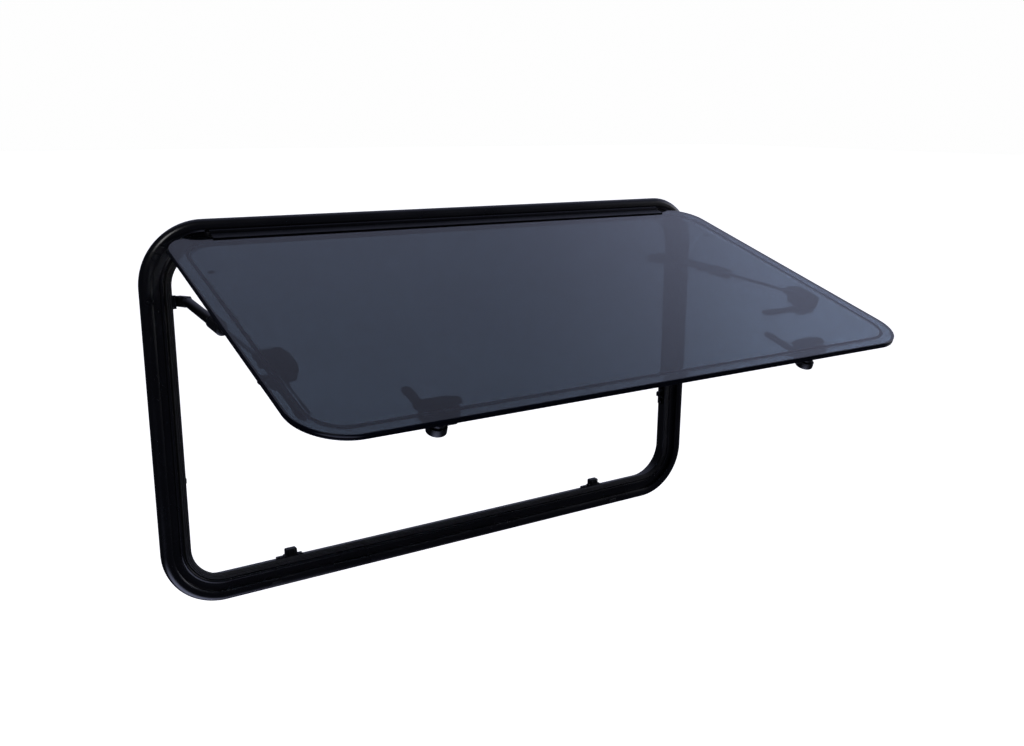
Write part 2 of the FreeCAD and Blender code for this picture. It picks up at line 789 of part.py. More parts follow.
def make_stay_arm():
    """Cranked end fitting of the stay, from the frame bracket to the tube."""
    elbow, sash_pin, along = stay_line()
    foot = V(stay_x, stay_frame_y, stay_frame_z)
    shank = flat_bar(foot, elbow, arm_width, arm_thickness)
    plug = Part.makeCylinder(tube_radius, tube_start + 2.0, elbow - along * 2.0, along)
    return joined([shank, plug])


def make_stay_tube():
    elbow, sash_pin, along = stay_line()
    tube = rod_between(elbow + along * tube_start, elbow + along * tube_end, tube_radius)
    bore = rod_between(elbow + along * (tube_start + 2.0), elbow + along * (tube_end + 1), bore_radius)
    return tube.cut(bore)


def make_stay_collar():
    elbow, sash_pin, along = stay_line()
    end = tube_end + gland_length
    sleeve = rod_between(elbow + along * collar_start, elbow + along * end, collar_radius)
    rims = [e for e in sleeve.Edges if e.Curve.TypeId == "Part::GeomCircle"]
    sleeve = sleeve.makeFillet(1.6, rims)
    seat = rod_between(elbow + along * (collar_start - 1), elbow + along * tube_end, tube_radius)
    bore = rod_between(elbow, elbow + along * (end + 5), rod_radius + running_fit)
    return sleeve.cut(seat).cut(bore)


def make_stay_rivet():
    """Pivot rivet at the frame end; its shank is flush with the arm."""
    outer = stay_x - arm_thickness / 2 - rivet_head_height
    foot = V(outer, stay_frame_y, stay_frame_z)
    head = Part.makeCylinder(rivet_head_radius, rivet_head_height, foot, V(1, 0, 0))
    rims = [e for e in head.Edges if e.BoundBox.XMax < outer + 0.01]
    return head.makeFillet(0.9, rims)


def make_stay_rod():
    elbow, sash_pin, along = stay_line()
    start = elbow + along * (tube_end - piston_setback - piston_length)
    end = sash_pin - along * (eye_radius + rod_fitting_length - 8)
    return rod_between(start, end, rod_radius)


def make_stay_piston():
    elbow, sash_pin, along = stay_line()
    start = elbow + along * (tube_end - piston_setback - piston_length)
    shoe = rod_between(start, start + along * piston_length, bore_radius - running_fit)
    waist = rod_between(start + along * 2.5, start + along * (piston_length - 2.5), bore_radius + 1)
    waist = waist.cut(rod_between(start, start + along * piston_length, bore_radius - 0.8))
    shoe = shoe.cut(waist)
    return shoe.cut(rod_between(start - along, start + along * (piston_length + 1), rod_radius))


def make_stay_rod_end():
    elbow, sash_pin, along = stay_line()
    start = sash_pin - along * (eye_radius + rod_fitting_length)
    barrel = rod_between(start, sash_pin - along * (eye_radius + 3), rod_fitting_radius)
    rims = [e for e in barrel.Edges if e.Curve.TypeId == "Part::GeomCircle"]
    barrel = barrel.makeFillet(1.2, rims)
    neck = flat_bar(sash_pin - along * (eye_radius + 8), sash_pin, 2 * eye_radius - 2.5, eye_thickness)
    eye_start = sash_pin - V(eye_thickness / 2, 0, 0)
    disc = Part.makeCylinder(eye_radius - 0.5, eye_thickness, eye_start, V(1, 0, 0))
    body = joined([barrel, neck, disc])
    rod_end = sash_pin - along * (eye_radius + rod_fitting_length - 8)
    body = body.cut(rod_between(start - along, rod_end, rod_radius))
    bore = Part.makeCylinder(pin_radius + axle_fit, 30, sash_pin - V(15, 0, 0), V(1, 0, 0))
    return body.cut(bore)


def make_stay_bracket():
    """Plate on the frame's inner wall with an ear beside the stay's arm."""
    wall = opening_half_width
    low, high = stay_frame_z - bracket_height / 2, stay_frame_z + bracket_height / 2
    ear_x = stay_x + arm_thickness / 2 + bracket_gap
    plate = box(wall - bracket_plate, wall, bracket_front, spigot_depth, low, high)
    web = box(ear_x, wall, spigot_depth - bracket_ear, spigot_depth, low, high)
    reach = bracket_height / 2 - bracket_ear_inset
    ear_low, ear_high = stay_frame_z - reach, stay_frame_z + reach
    ear = box(ear_x, ear_x + bracket_ear, spigot_depth - bracket_ear, stay_frame_y, ear_low, ear_high)
    nose = Part.makeCylinder(reach, bracket_ear, V(ear_x, stay_frame_y, stay_frame_z), V(1, 0, 0))
    body = joined([plate, web, ear, nose])
    holes = [rod_between(V(wall - 10, y, z), V(wall + 5, y, z), screw_radius + screw_hole_fit)
             for y, z in bracket_screw_points()]
    return body.cut(Part.makeCompound(holes))


def bracket_screw_points():
    y = (bracket_front + spigot_depth - bracket_ear) / 2
    return [(y, stay_frame_z - bracket_screw_spread), (y, stay_frame_z + bracket_screw_spread)]


def make_bracket_screws():
    wall = opening_half_width
    screws = []
    for y, z in bracket_screw_points():
        face = wall - bracket_plate
        front = V(face - screw_head_height, y, z)
        head = Part.makeCylinder(screw_head_radius, screw_head_height, front, V(1, 0, 0))
        shank = Part.makeCylinder(screw_radius, bracket_plate, V(face, y, z), V(1, 0, 0))
        slot = box(face - 4, face - 0.8, y - 2.2, y + 2.2, z - 0.4, z + 0.4)
        screws.append(joined([head, shank]).cut(slot))
    return screws


def build_frame():
    save("outer_frame", make_outer_frame())
    save("frame_joiner", make_frame_joiner())
    save("frame_seal", make_frame_seal())
    save("hinge_rail_frame", make_hinge_rail_frame())
    save("hinge_rail_rivets", make_hinge_rail_rivets())
    save("hinge_end_caps", make_hinge_end_caps())
    save("weep_covers", make_weep_covers())
    screws = []
    for name, x, z, turn, block_length, height in striker_places():
        step_length = block_length + striker_step_extra
        save(name, stand_at(striker_on_floor(block_length, step_length, height), x, z, turn))
        screws += [stand_at(screw, x, z, turn) for screw in striker_screws_on_floor()]
    save("striker_screws", Part.makeCompound(screws))


def build_sash():
    save("outer_pane", opened(make_outer_pane()))
    save("inner_pane", opened(make_inner_pane()))
    save("edge_bond", opened(make_edge_bond()))
    save("inner_bond", opened(make_inner_bond()))
    save("vent_plugs", opened(make_vent_plugs()))
    save("hinge_rail_sash", opened(make_hinge_rail_sash()))


def build_latches():
    axles = []
    screws = []
    for name, x, z, turn, rest in latch_places():
        base = stand_at(make_latch_base(), x, z, turn)
        if name.startswith("side"):
            lugs, notch = make_stay_lugs(), stay_notch()
            if x < 0:
                lugs, notch = mirrored(lugs), mirrored(notch)
            base = joined([base.cut(notch), lugs])
        save("latch_base_" + name, opened(base.cut(stand_at(latch_base_bores(), x, z, turn))))
        hand = 90 if x < 0 else -90
        handle = make_handle()
        tongue = make_tongue(-90 + hand)
        spin = rest if x < 0 else -rest
        for piece in (handle, tongue):
            piece.rotate(V(0, 0, 0), V(0, 1, 0), spin)
        save("latch_handle_" + name, place_latch(handle, x, z, turn))
        save("latch_tongue_" + name, place_latch(tongue, x, z, turn))
        axles.append(place_latch(make_axle(), x, z, turn))
        screws += [place_latch(screw, x, z, turn) for screw in make_base_screws()]
    save("latch_axles", Part.makeCompound(axles))
    save("latch_base_screws", Part.makeCompound(screws))


def build_stays():
    makers = {
        "stay_arm": make_stay_arm, "stay_tube": make_stay_tube, "stay_collar": make_stay_collar,
        "stay_rivet": make_stay_rivet, "stay_rod": make_stay_rod, "stay_piston": make_stay_piston,
        "stay_rod_end": make_stay_rod_end, "stay_bracket": make_stay_bracket}
    for name, maker in makers.items():
        right = maker()
        save(name + "_right", right)
        save(name + "_left", mirrored(right))
    pin = make_lug_pin()
    save("stay_pins", opened(Part.makeCompound([pin, mirrored(pin)])))
    screws = make_bracket_screws()
    screws += [mirrored(screw) for screw in screws]
    save("stay_bracket_screws", Part.makeCompound(screws))


os.makedirs(OUT, exist_ok=True)
build_frame()
build_sash()
build_latches()
build_stays()
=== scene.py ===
import math

import bmesh
import bpy
from mathutils import Matrix, Vector


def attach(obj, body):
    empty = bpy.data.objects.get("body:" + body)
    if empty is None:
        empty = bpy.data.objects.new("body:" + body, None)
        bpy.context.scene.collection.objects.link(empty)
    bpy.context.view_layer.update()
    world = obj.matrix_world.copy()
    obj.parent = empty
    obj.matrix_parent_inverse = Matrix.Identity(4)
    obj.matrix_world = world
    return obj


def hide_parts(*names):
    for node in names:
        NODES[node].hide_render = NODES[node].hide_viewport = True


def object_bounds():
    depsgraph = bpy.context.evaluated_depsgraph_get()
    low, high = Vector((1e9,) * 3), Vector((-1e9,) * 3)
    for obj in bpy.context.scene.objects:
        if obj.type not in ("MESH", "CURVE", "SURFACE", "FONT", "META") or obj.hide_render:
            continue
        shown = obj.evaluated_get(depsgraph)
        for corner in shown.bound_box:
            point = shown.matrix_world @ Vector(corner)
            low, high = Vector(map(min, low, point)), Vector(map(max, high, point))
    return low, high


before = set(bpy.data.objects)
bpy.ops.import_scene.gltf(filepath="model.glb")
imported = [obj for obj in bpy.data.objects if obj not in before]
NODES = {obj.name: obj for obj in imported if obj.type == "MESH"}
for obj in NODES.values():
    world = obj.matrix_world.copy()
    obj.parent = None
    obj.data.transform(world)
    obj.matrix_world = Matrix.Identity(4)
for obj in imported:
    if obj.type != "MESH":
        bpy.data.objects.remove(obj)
cad_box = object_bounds()

# ---- view and stage (metres, degrees) ----------------------------------
VIEW_AZIMUTH = -33.244
VIEW_ELEVATION = 14.175
VIEW_ROLL = 0.492
VIEW_DISTANCE = 1.579
VIEW_TARGET = Vector((0.0737, -0.0421, 0.0113))
VIEW_LENS = 35.52
SENSOR_WIDTH = 36.0
NEAR_CLIP = 0.05
FLOOR_DROP = 0.35
FLOOR_HALF = 30.0
FLOOR_GLOW = 0.98

# ---- the sash's swing (metres, degrees) ---------------------------------
OPEN_ANGLE = 73.2
HINGE = Vector((0.0, -0.015, 0.251))
SWING = (Matrix.Translation(HINGE) @ Matrix.Rotation(math.radians(-OPEN_ANGLE), 4, "X")
         @ Matrix.Translation(-HINGE))
SWUNG = {"sash": SWING, "latch_bottom_left": SWING, "latch_bottom_right": SWING,
         "latch_side_left": SWING, "latch_side_right": SWING}


def view_back(azimuth, elevation):
    """Unit vector from the object towards a viewer."""
    a, e = math.radians(azimuth), math.radians(elevation)
    return Vector((math.sin(a) * math.cos(e), -math.cos(a) * math.cos(e), math.sin(e)))


def make_camera():
    back = view_back(VIEW_AZIMUTH, VIEW_ELEVATION)
    right = Vector((0, 0, 1)).cross(back).normalized()
    up = back.cross(right)
    roll = math.radians(VIEW_ROLL)
    side = right * math.cos(roll) + up * math.sin(roll)
    top = up * math.cos(roll) - right * math.sin(roll)
    turn = Matrix((side, top, back)).transposed().to_4x4()
    data = bpy.data.cameras.new("camera")
    data.lens = VIEW_LENS
    data.sensor_width = SENSOR_WIDTH
    data.clip_start = NEAR_CLIP
    camera = bpy.data.objects.new("camera", data)
    camera.matrix_world = Matrix.Translation(VIEW_TARGET + back * VIEW_DISTANCE) @ turn
    bpy.context.scene.collection.objects.link(camera)
    bpy.context.scene.camera = camera


# ---- mesh helpers (millimetres in, metres out) --------------------------
MM = 0.001


def fillet_profile(points, steps=4):
    """Closed polygon of (a, b, radius) points with every corner rounded."""
    out = []
    for index, (a, b, radius) in enumerate(points):
        here = Vector((a, b))
        before = Vector(points[index - 1][:2]) - here
        after = Vector(points[(index + 1) % len(points)][:2]) - here
        half = before.angle(after) / 2
        run = radius / math.tan(half) if radius else 0.0
        run = min(run, before.length * 0.49, after.length * 0.49)
        if run < 0.01:
            out.append((a, b))
            continue
        start = here + before.normalized() * run
        end = here + after.normalized() * run
        for k in range(steps + 1):
            t = k / steps
            point = start * (1 - t) ** 2 + here * (2 * t * (1 - t)) + end * t ** 2
            out.append((point.x, point.y))
    return out


def arc_points(start, middle, end, steps=8):
    """Points on the circle through three points, start and end left out."""
    a, b, c = Vector(start), Vector(middle), Vector(end)
    d = 2 * (a.x * (b.y - c.y) + b.x * (c.y - a.y) + c.x * (a.y - b.y))
    x = (a.length_squared * (b.y - c.y) + b.length_squared * (c.y - a.y) + c.length_squared * (a.y - b.y)) / d
    y = (a.length_squared * (c.x - b.x) + b.length_squared * (a.x - c.x) + c.length_squared * (b.x - a.x)) / d
    centre = Vector((x, y))
    angles = [math.atan2(p.y - y, p.x - x) for p in (a, b, c)]
    first = angles[0]
    span_mid = (angles[1] - first) % math.tau
    span_end = (angles[2] - first) % math.tau
    if span_mid > span_end:
        span_end -= math.tau
    radius = (a - centre).length
    turns = [first + span_end * k / steps for k in range(1, steps)]
    return [(x + radius * math.cos(t), y + radius * math.sin(t)) for t in turns]


def finish_mesh(name, work, materials, body, nodes, sharp=32.0):
    """Mesh object in the row frame that stands for some CAD nodes."""
    bmesh.ops.recalc_face_normals(work, faces=work.faces)
    mesh = bpy.data.meshes.new(name)
    work.to_mesh(mesh)
    work.free()
    mesh.transform(Matrix.Scale(MM, 4))
    for material in materials:
        mesh.materials.append(material)
    mesh.shade_smooth()
    mesh.set_sharp_from_angle(angle=math.radians(sharp))
    piece = bpy.data.objects.new(name, mesh)
    bpy.context.scene.collection.objects.link(piece)
    if SWUNG.get(body):
        mesh.transform(SWUNG[body])
    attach(piece, body)
    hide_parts(*nodes)
    return piece


def corner_stations(width, height, radii, centre_z, steps):
    """Corner centre, outward direction and radius, clockwise from the top right."""
    out = []
    corners = ((1, 1, 90), (1, -1, 0), (-1, -1, -90), (-1, 1, -180))
    for (sx, sz, start), radius in zip(corners, radii):
        centre = (sx * (width / 2 - radius), centre_z + sz * (height / 2 - radius))
        for k in range(steps + 1):
            turn = math.radians(start - 90 * k / steps)
            out.append((centre, (math.cos(turn), math.sin(turn)), radius))
    return out


def sweep(work, profile, stations, slot=0, closed=True):
    """Rings of (inset, y) points swept along the stations; returns the rings."""
    rings = []
    for centre, direction, radius in stations:
        ring = []
        for inset, y in profile:
            reach = radius - inset
            place = (centre[0] + direction[0] * reach, y, centre[1] + direction[1] * reach)
            ring.append(work.verts.new(place))
        rings.append(ring)
    count = len(profile)
    for ring, after in zip(rings, rings[1:] + rings[:1]):
        for k in range(count if closed else count - 1):
            face = work.faces.new((ring[k], ring[(k + 1) % count], after[(k + 1) % count], after[k]))
            face.material_index = slot
    return rings


def prism(work, outline, y0, y1, edge0=0.0, edge1=0.0, steps=4):
    """Upright prism over an (x, z) outline, its rims rounded inward."""
    count = len(outline)
    normals = []
    for k in range(count):
        before = Vector(outline[k]) - Vector(outline[k - 1])
        after = Vector(outline[(k + 1) % count]) - Vector(outline[k])
        first = Vector((before.y, -before.x)).normalized()
        second = Vector((after.y, -after.x)).normalized()
        bend = (first + second).normalized()
        normals.append(bend / max(0.4, bend.dot(first)))
    levels = []
    for k in range(steps + 1 if edge0 else 1):
        turn = math.pi / 2 * (k / steps if edge0 else 1)
        levels.append((edge0 * (1 - math.sin(turn)), y0 + edge0 * (1 - math.cos(turn))))
    for k in range(steps + 1 if edge1 else 1):
        turn = math.pi / 2 * (k / steps if edge1 else 0)
        levels.append((edge1 * (1 - math.cos(turn)), y1 - edge1 * (1 - math.sin(turn))))
    rings = []
    for inset, y in levels:
        rings.append([work.verts.new((p[0] - n.x * inset, y, p[1] - n.y * inset))
                      for p, n in zip(outline, normals)])
    for ring, after in zip(rings, rings[1:]):
        for k in range(count):
            work.faces.new((ring[k], ring[(k + 1) % count], after[(k + 1) % count], after[k]))
    work.faces.new(rings[0])
    work.faces.new(list(reversed(rings[-1])))


def disc_outline(radius, x=0.0, z=0.0, count=48):
    """Round outline, counter-clockwise seen from -Y."""
    turns = [math.tau * k / count for k in range(count)]
    return [(x + radius * math.cos(t), z + radius * math.sin(t)) for t in turns]


# ---- material helpers ---------------------------------------------------
class Shader:
    """A material with one Principled shader and short ways to add nodes."""

    def __init__(self, name, colour, roughness, metallic=0.0):
        self.material = bpy.data.materials.new(name)
        self.material.use_nodes = True
        self.tree = self.material.node_tree
        self.surface = self.tree.nodes["Principled BSDF"]
        self.surface.inputs["Base Color"].default_value = (*colour, 1.0)
        self.surface.inputs["Roughness"].default_value = roughness
        self.surface.inputs["Metallic"].default_value = metallic
        self.place = self.add("ShaderNodeTexCoord").outputs["Object"]

    def add(self, kind, **settings):
        node = self.tree.nodes.new(kind)
        for key, value in settings.items():
            setattr(node, key, value)
        return node

    def link(self, source, target):
        self.tree.links.new(source, target)

    def scaled(self, scale):
        node = self.add("ShaderNodeMapping")
        node.inputs["Scale"].default_value = scale
        self.link(self.place, node.inputs["Vector"])
        return node.outputs["Vector"]

    def noise(self, scale, detail=3.0, rough=0.5, stretch=None):
        node = self.add("ShaderNodeTexNoise")
        node.inputs["Scale"].default_value = scale
        node.inputs["Detail"].default_value = detail
        node.inputs["Roughness"].default_value = rough
        self.link(self.scaled(stretch) if stretch else self.place, node.inputs["Vector"])
        return node.outputs["Fac"]

    def range(self, value, low_in, high_in, low_out, high_out):
        node = self.add("ShaderNodeMapRange")
        for index, number in enumerate((low_in, high_in, low_out, high_out), start=1):
            node.inputs[index].default_value = number
        self.link(value, node.inputs[0])
        return node.outputs[0]

    def mix_colour(self, factor, first, second):
        node = self.add("ShaderNodeMix", data_type="RGBA")
        node.inputs["A"].default_value = (*first, 1.0)
        node.inputs["B"].default_value = (*second, 1.0)
        self.link(factor, node.inputs["Factor"])
        self.link(node.outputs["Result"], self.surface.inputs["Base Color"])

    def rough_from(self, factor):
        self.link(factor, self.surface.inputs["Roughness"])

    def bump(self, height, strength, distance):
        node = self.add("ShaderNodeBump")
        node.inputs["Strength"].default_value = strength
        node.inputs["Distance"].default_value = distance
        self.link(height, node.inputs["Height"])
        self.link(node.outputs["Normal"], self.surface.inputs["Normal"])

    def edges(self, low, high):
        """0 on flats and 1 on outer edges; it masks the painted edge highlights."""
        point = self.add("ShaderNodeNewGeometry").outputs["Pointiness"]
        return self.range(point, low, high, 0.0, 1.0)


def powder_coat():
    s = Shader("frame_black", (0.003, 0.0032, 0.005), 0.3)
    peel = s.noise(900.0, 2.0)
    broad = s.noise(14.0, 3.0)
    # painted highlight: the coat's outer edges get a lighter colour, as if they caught the light
    s.mix_colour(s.edges(0.52, 0.62), (0.0028, 0.003, 0.0048), (0.008, 0.0085, 0.012))
    s.rough_from(s.range(broad, 0.3, 0.7, 0.24, 0.34))
    s.bump(peel, 0.05, 0.0004)
    return s.material


def rubber():
    s = Shader("rubber_black", (0.006, 0.006, 0.0065), 0.6)
    grain = s.noise(700.0, 4.0)
    dust = s.noise(40.0, 4.0)
    s.mix_colour(s.range(dust, 0.5, 0.8, 0.0, 1.0), (0.006, 0.006, 0.0065), (0.013, 0.013, 0.013))
    s.rough_from(s.range(grain, 0.3, 0.7, 0.5, 0.68))
    s.bump(grain, 0.12, 0.0003)
    return s.material


def anodised(name, colour, roughness, along=(1.0, 60.0, 60.0)):
    s = Shader(name, colour, roughness, 0.85)
    draw = s.noise(60.0, 4.0, 0.6, along)
    # painted highlight: the outer edges get a lighter colour, as if they caught the light
    painted_edge_highlight = tuple(min(1.0, c * 1.5 + 0.003) for c in colour)
    s.mix_colour(s.edges(0.52, 0.62), colour, painted_edge_highlight)
    s.rough_from(s.range(draw, 0.3, 0.7, roughness - 0.06, roughness + 0.08))
    s.bump(draw, 0.04, 0.0002)
    return s.material


def acrylic(name, tint):
    s = Shader(name, tint, 0.02)
    s.surface.inputs["Transmission Weight"].default_value = 1.0
    s.surface.inputs["IOR"].default_value = 1.49
    haze = s.noise(5.0, 3.0)
    darker = tuple(c * 0.97 for c in tint)
    s.mix_colour(s.range(haze, 0.35, 0.65, 0.0, 1.0), tint, darker)
    s.rough_from(s.range(haze, 0.3, 0.75, 0.0, 0.012))
    return s.material


def moulded(name, colour, grain_scale=420.0):
    s = Shader(name, colour, 0.48)
    grain = s.noise(grain_scale, 3.0)
    flow = s.noise(30.0, 3.0)
    # painted highlight: the outer edges get a lighter colour, as if they caught the light
    painted_edge_highlight = tuple(c * 1.6 + 0.002 for c in colour)
    s.mix_colour(s.edges(0.53, 0.66), colour, painted_edge_highlight)
    s.rough_from(s.range(flow, 0.3, 0.7, 0.4, 0.54))
    s.bump(grain, 0.14, 0.00025)
    return s.material


def bright_metal(name, colour, roughness, along=(40.0, 40.0, 40.0)):
    s = Shader(name, colour, roughness, 1.0)
    brush = s.noise(50.0, 3.0, 0.6, along)
    worn = s.noise(90.0, 4.0)
    s.mix_colour(s.range(worn, 0.45, 0.75, 0.0, 1.0), colour, tuple(c * 0.6 for c in colour))
    s.rough_from(s.range(brush, 0.3, 0.7, roughness - 0.06, roughness + 0.1))
    s.bump(brush, 0.05, 0.0002)
    return s.material


def bond(name, colour, see_through):
    s = Shader(name, colour, 0.5)
    s.surface.inputs["Transmission Weight"].default_value = see_through
    wave = s.noise(120.0, 3.0)
    s.rough_from(s.range(wave, 0.3, 0.7, 0.42, 0.6))
    s.bump(wave, 0.2, 0.0002)
    return s.material


def sheet_edge():
    s = Shader("sheet_edge", (0.002, 0.003, 0.007), 0.2)
    s.surface.inputs["Specular IOR Level"].default_value = 0.12
    polish = s.noise(260.0, 3.0, 0.5, (1.0, 1.0, 6.0))
    s.mix_colour(s.range(polish, 0.4, 0.7, 0.0, 1.0), (0.002, 0.003, 0.007), (0.005, 0.007, 0.016))
    s.rough_from(s.range(polish, 0.3, 0.7, 0.1, 0.24))
    s.bump(polish, 0.05, 0.0002)
    return s.material


def make_kit():
    return {
        "coat": powder_coat(),
        "rubber": rubber(),
        "nylon": moulded("nylon_black", (0.005, 0.0055, 0.007)),
        "smoked": acrylic("smoked_acrylic", (0.035, 0.05, 0.073)),
        "clear": acrylic("clear_acrylic", (0.82, 0.85, 0.9)),
        "edge": sheet_edge()}


def dress_nodes(kit):
    nylon = kit["nylon"]
    zinc = bright_metal("zinc_screw", (0.05, 0.05, 0.052), 0.3)
    steel = bright_metal("steel_rod", (0.4, 0.4, 0.41), 0.25)
    by_name = {
        "outer_frame": kit["coat"], "frame_seal": kit["rubber"],
        "hinge_rail_frame": anodised("hinge_black", (0.006, 0.006, 0.008), 0.34),
        "hinge_rail_sash": anodised("hinge_rail", (0.008, 0.0085, 0.011), 0.3),
        "hinge_rail_rivets": bright_metal("rivet_alu", (0.12, 0.12, 0.125), 0.35),
        "frame_joiner": bright_metal("joiner_alu", (0.5, 0.5, 0.51), 0.35),
        "outer_pane": kit["smoked"], "inner_pane": kit["clear"],
        "edge_bond": bond("bond_dark", (0.005, 0.005, 0.007), 0.0),
        "inner_bond": bond("bond_clear", (0.3, 0.32, 0.36), 0.85),
        "vent_plugs": moulded("plug_grey", (0.03, 0.03, 0.033)),
        "striker_screws": zinc, "latch_base_screws": zinc, "stay_bracket_screws": zinc,
        "latch_axles": steel, "stay_pins": steel}
    starts = {
        "stay_rod_end": nylon, "stay_rod": steel, "stay_rivet": steel,
        "stay_tube": anodised("tube_black", (0.012, 0.012, 0.013), 0.36, (60.0, 1.0, 60.0)),
        "stay_piston": moulded("friction_nylon", (0.45, 0.43, 0.38)),
        "stay_bracket": moulded("bracket_black", (0.01, 0.01, 0.011), 900.0)}
    for name, node in NODES.items():
        material = by_name.get(name)
        for start, candidate in starts.items():
            if material is None and name.startswith(start):
                material = candidate
        node.data.materials.clear()
        node.data.materials.append(material or nylon)


# ---- detailed pieces (sizes in millimetres) ------------------------------
CORNER_STEPS = 32
FRAME_SIZE = (936.0, 536.0)
FRAME_RADIUS = 86.0
SASH_SIZE = (883.0, 486.9)
SASH_MID = 1.95
SASH_RADII = (45.0, 61.0, 61.0, 45.0)
PANE_FRONT, PANE_BACK = -14.0, -10.5
INNER_FRONT, INNER_BACK = -9.9, -7.4
PANEL_FRONT, PANEL_BACK = -5.9, -3.4
STEP_INSET = 21.0
HUB_LOW, HUB_TOP, HUB_RADIUS = 18.3, 27.3, 11.5
LEVER_LOW, LEVER_HIGH = 18.7, 23.3
LEVER_LENGTH, LEVER_HALF = 77.0, 6.5
TONGUE_LOW, TONGUE_LENGTH, TONGUE_HALF = 14.3, 23.0, 4.5
BASE_TOP, BASE_HALF, BASE_DEPTH = 14.0, 19.0, 15.0
BASE_SLOPE = 8.0
STAY_X = 412.0
ELBOW = Vector((STAY_X, -20.0, 164.5))
STAY_PIN = Vector((STAY_X, 6.0, -58.1))
LATCHES = {"bottom_left": (-280.0, -203.5, 0, 0), "bottom_right": (280.0, -203.5, 0, 0),
           "side_left": (-403.5, -75.0, 90, 90), "side_right": (403.5, -75.0, -90, 0)}
# foot x and z, turn, block length, height
STRIKERS = {"striker_bottom_left": (-280.0, -236.5, 0, 17.0, 17.0),
            "striker_bottom_right": (280.0, -236.5, 0, 17.0, 17.0),
            "striker_side_left": (-436.5, -85.3, 90, 9.0, 13.0),
            "striker_side_right": (436.5, -85.3, -90, 9.0, 13.0)}


def frame_stations(steps=CORNER_STEPS):
    return corner_stations(*FRAME_SIZE, [FRAME_RADIUS] * 4, 0.0, steps)


def bore_out(piece, cutters):
    """Cuts the cutters out of a piece and drops them."""
    cutter = bpy.data.objects.new("cutter", bpy.data.meshes.new("cutter"))
    bmesh.ops.recalc_face_normals(cutters, faces=cutters.faces)
    cutters.to_mesh(cutter.data)
    cutters.free()
    cutter.data.transform(Matrix.Scale(MM, 4))
    bpy.context.scene.collection.objects.link(cutter)
    cut = piece.modifiers.new("cut", "BOOLEAN")
    cut.operation = "DIFFERENCE"
    cut.solver = "EXACT"
    cut.object = cutter
    shown = piece.evaluated_get(bpy.context.evaluated_depsgraph_get())
    mesh = bpy.data.meshes.new_from_object(shown)
    piece.modifiers.clear()
    piece.data = mesh
    bpy.data.objects.remove(cutter)


def make_frame(coat):
    """Bent extrusion: crowned flange, channel, inner ridge and hollow spigot."""
    crown = arc_points((0.0, -3.6), (2.3, -8.6), (9.0, -11.0), 12)
    shoulder = arc_points((9.0, -11.0), (13.2, -10.5), (15.6, -9.1), 6)
    ridge = arc_points((25.6, -4.0), (28.55, -7.0), (31.4, -4.0), 12)
    under = arc_points((15.0, -2.2), (9.0, -8.8), (3.4, -4.4), 8)
    corners = [(0.8, 0.0, 0.2), (0.0, -0.8, 0.5), (0.0, -3.6, 0.0)]
    corners += [(*p, 0.0) for p in crown] + [(9.0, -11.0, 0.0)] + [(*p, 0.0) for p in shoulder]
    corners += [(15.6, -9.1, 0.5), (16.0, -4.0, 0.4), (25.6, -4.0, 0.3)]
    corners += [(*p, 0.0) for p in ridge] + [(31.4, -4.0, 0.2), (31.5, -3.4, 0.2)]
    corners += [(31.5, 22.0, 0.4), (20.0, 22.0, 0.4), (20.0, 0.0, 0.3), (15.0, 0.0, 0.3), (15.0, -2.2, 0.3)]
    corners += [(*p, 0.0) for p in under] + [(3.4, -4.4, 0.0), (2.6, 0.0, 0.2)]
    work = bmesh.new()
    sweep(work, fillet_profile(corners, 3), frame_stations())
    piece = finish_mesh("frame_extrusion", work, [coat], "frame", ["outer_frame"], 28.0)
    cutters = bmesh.new()
    rows = [(x * sx, 242.25 * sz) for x in (68.0, 204.0, 340.0) for sx in (-1, 1) for sz in (-1, 1)]
    rows += [(442.25 * sx, z * sz) for z in (60.0, 150.0) for sx in (-1, 1) for sz in (-1, 1)]
    for x, z in rows:
        prism(cutters, disc_outline(1.65, x, z, 16), 18.0, 24.0)
    prism(cutters, [(-0.1, 225.0), (0.1, 225.0), (0.1, 280.0), (-0.1, 280.0)], -30.0, 60.0)
    bore_out(piece, cutters)
    return piece


def make_seal(rubber_black):
    """Extruded lip seal with rolled nose and three contact ridges."""
    lip, top, valley = 41.0, -7.1, -5.9
    corners = [(31.5, -3.4, 0.1), (31.5, 3.0, 0.3), (33.5, 3.0, 0.6), (33.5, -2.6, 0.4), (39.0, -2.6, 0.0)]
    corners += [(*p, 0.0) for p in arc_points((39.0, -2.6), (lip, -4.3), (lip - 1.2, valley), 8)]
    corners += [(lip - 1.2, valley, 0.2)]
    for start in (1.2, 3.6, 6.0):
        ends = (lip - start, valley), (lip - start - 2.4, valley)
        corners += [(*p, 0.0) for p in arc_points(ends[0], (lip - start - 1.2, top), ends[1], 8)]
        corners += [(*ends[1], 0.15)]
    work = bmesh.new()
    sweep(work, fillet_profile(corners, 3), frame_stations())
    return finish_mesh("lip_seal", work, [rubber_black], "frame", ["frame_seal"], 40.0)


def sheet_stations(inset, stepped=False):
    """Stations at an inset of the sash outline, or of the formed step's outline."""
    width, height = SASH_SIZE[0] - 2 * inset, SASH_SIZE[1] - 2 * inset
    radii = [radius - inset for radius in SASH_RADII]
    if stepped:
        radii = [FRAME_RADIUS - 22.6 - inset] + [FRAME_RADIUS - 26.5 - inset] * 2
        radii += [radii[0]]
    return corner_stations(width, height, radii, SASH_MID, CORNER_STEPS)


